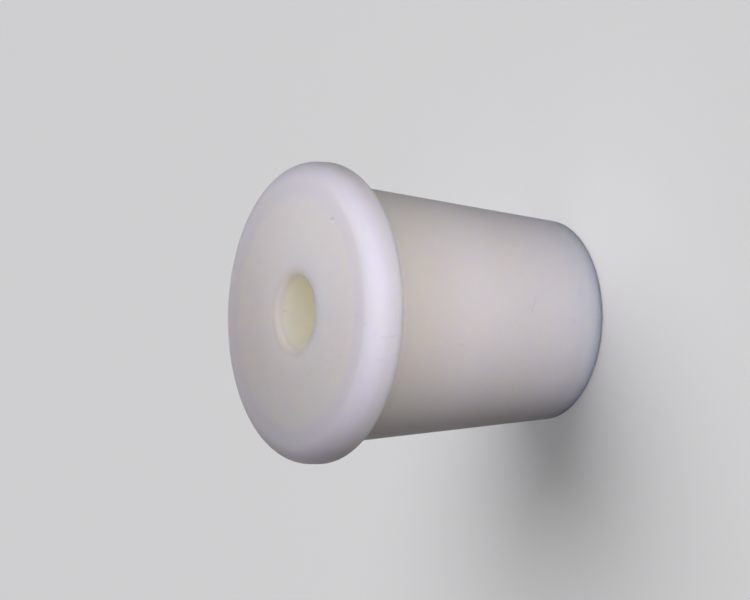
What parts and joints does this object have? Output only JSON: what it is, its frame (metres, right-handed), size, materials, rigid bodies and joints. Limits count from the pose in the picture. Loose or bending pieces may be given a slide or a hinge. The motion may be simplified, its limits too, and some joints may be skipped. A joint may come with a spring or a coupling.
{
  "type": "rubber stopper",
  "caption": "Tapered silicone rubber stopper with a flat, round-edged head and one straight bore along its axis.",
  "frame": {"origin": "centre of the small end, on the surface that the stopper stands on", "axes": "+Z along the bore, from the small end up to the head; the stopper is round, so X and Y are free"},
  "size_m": [0.025, 0.025, 0.025],
  "materials": {
    "silicone": "satin milky white, slightly translucent silicone rubber"
  },
  "bodies": {
    "root": {"stopper": "silicone"}
  },
  "joints": []
}
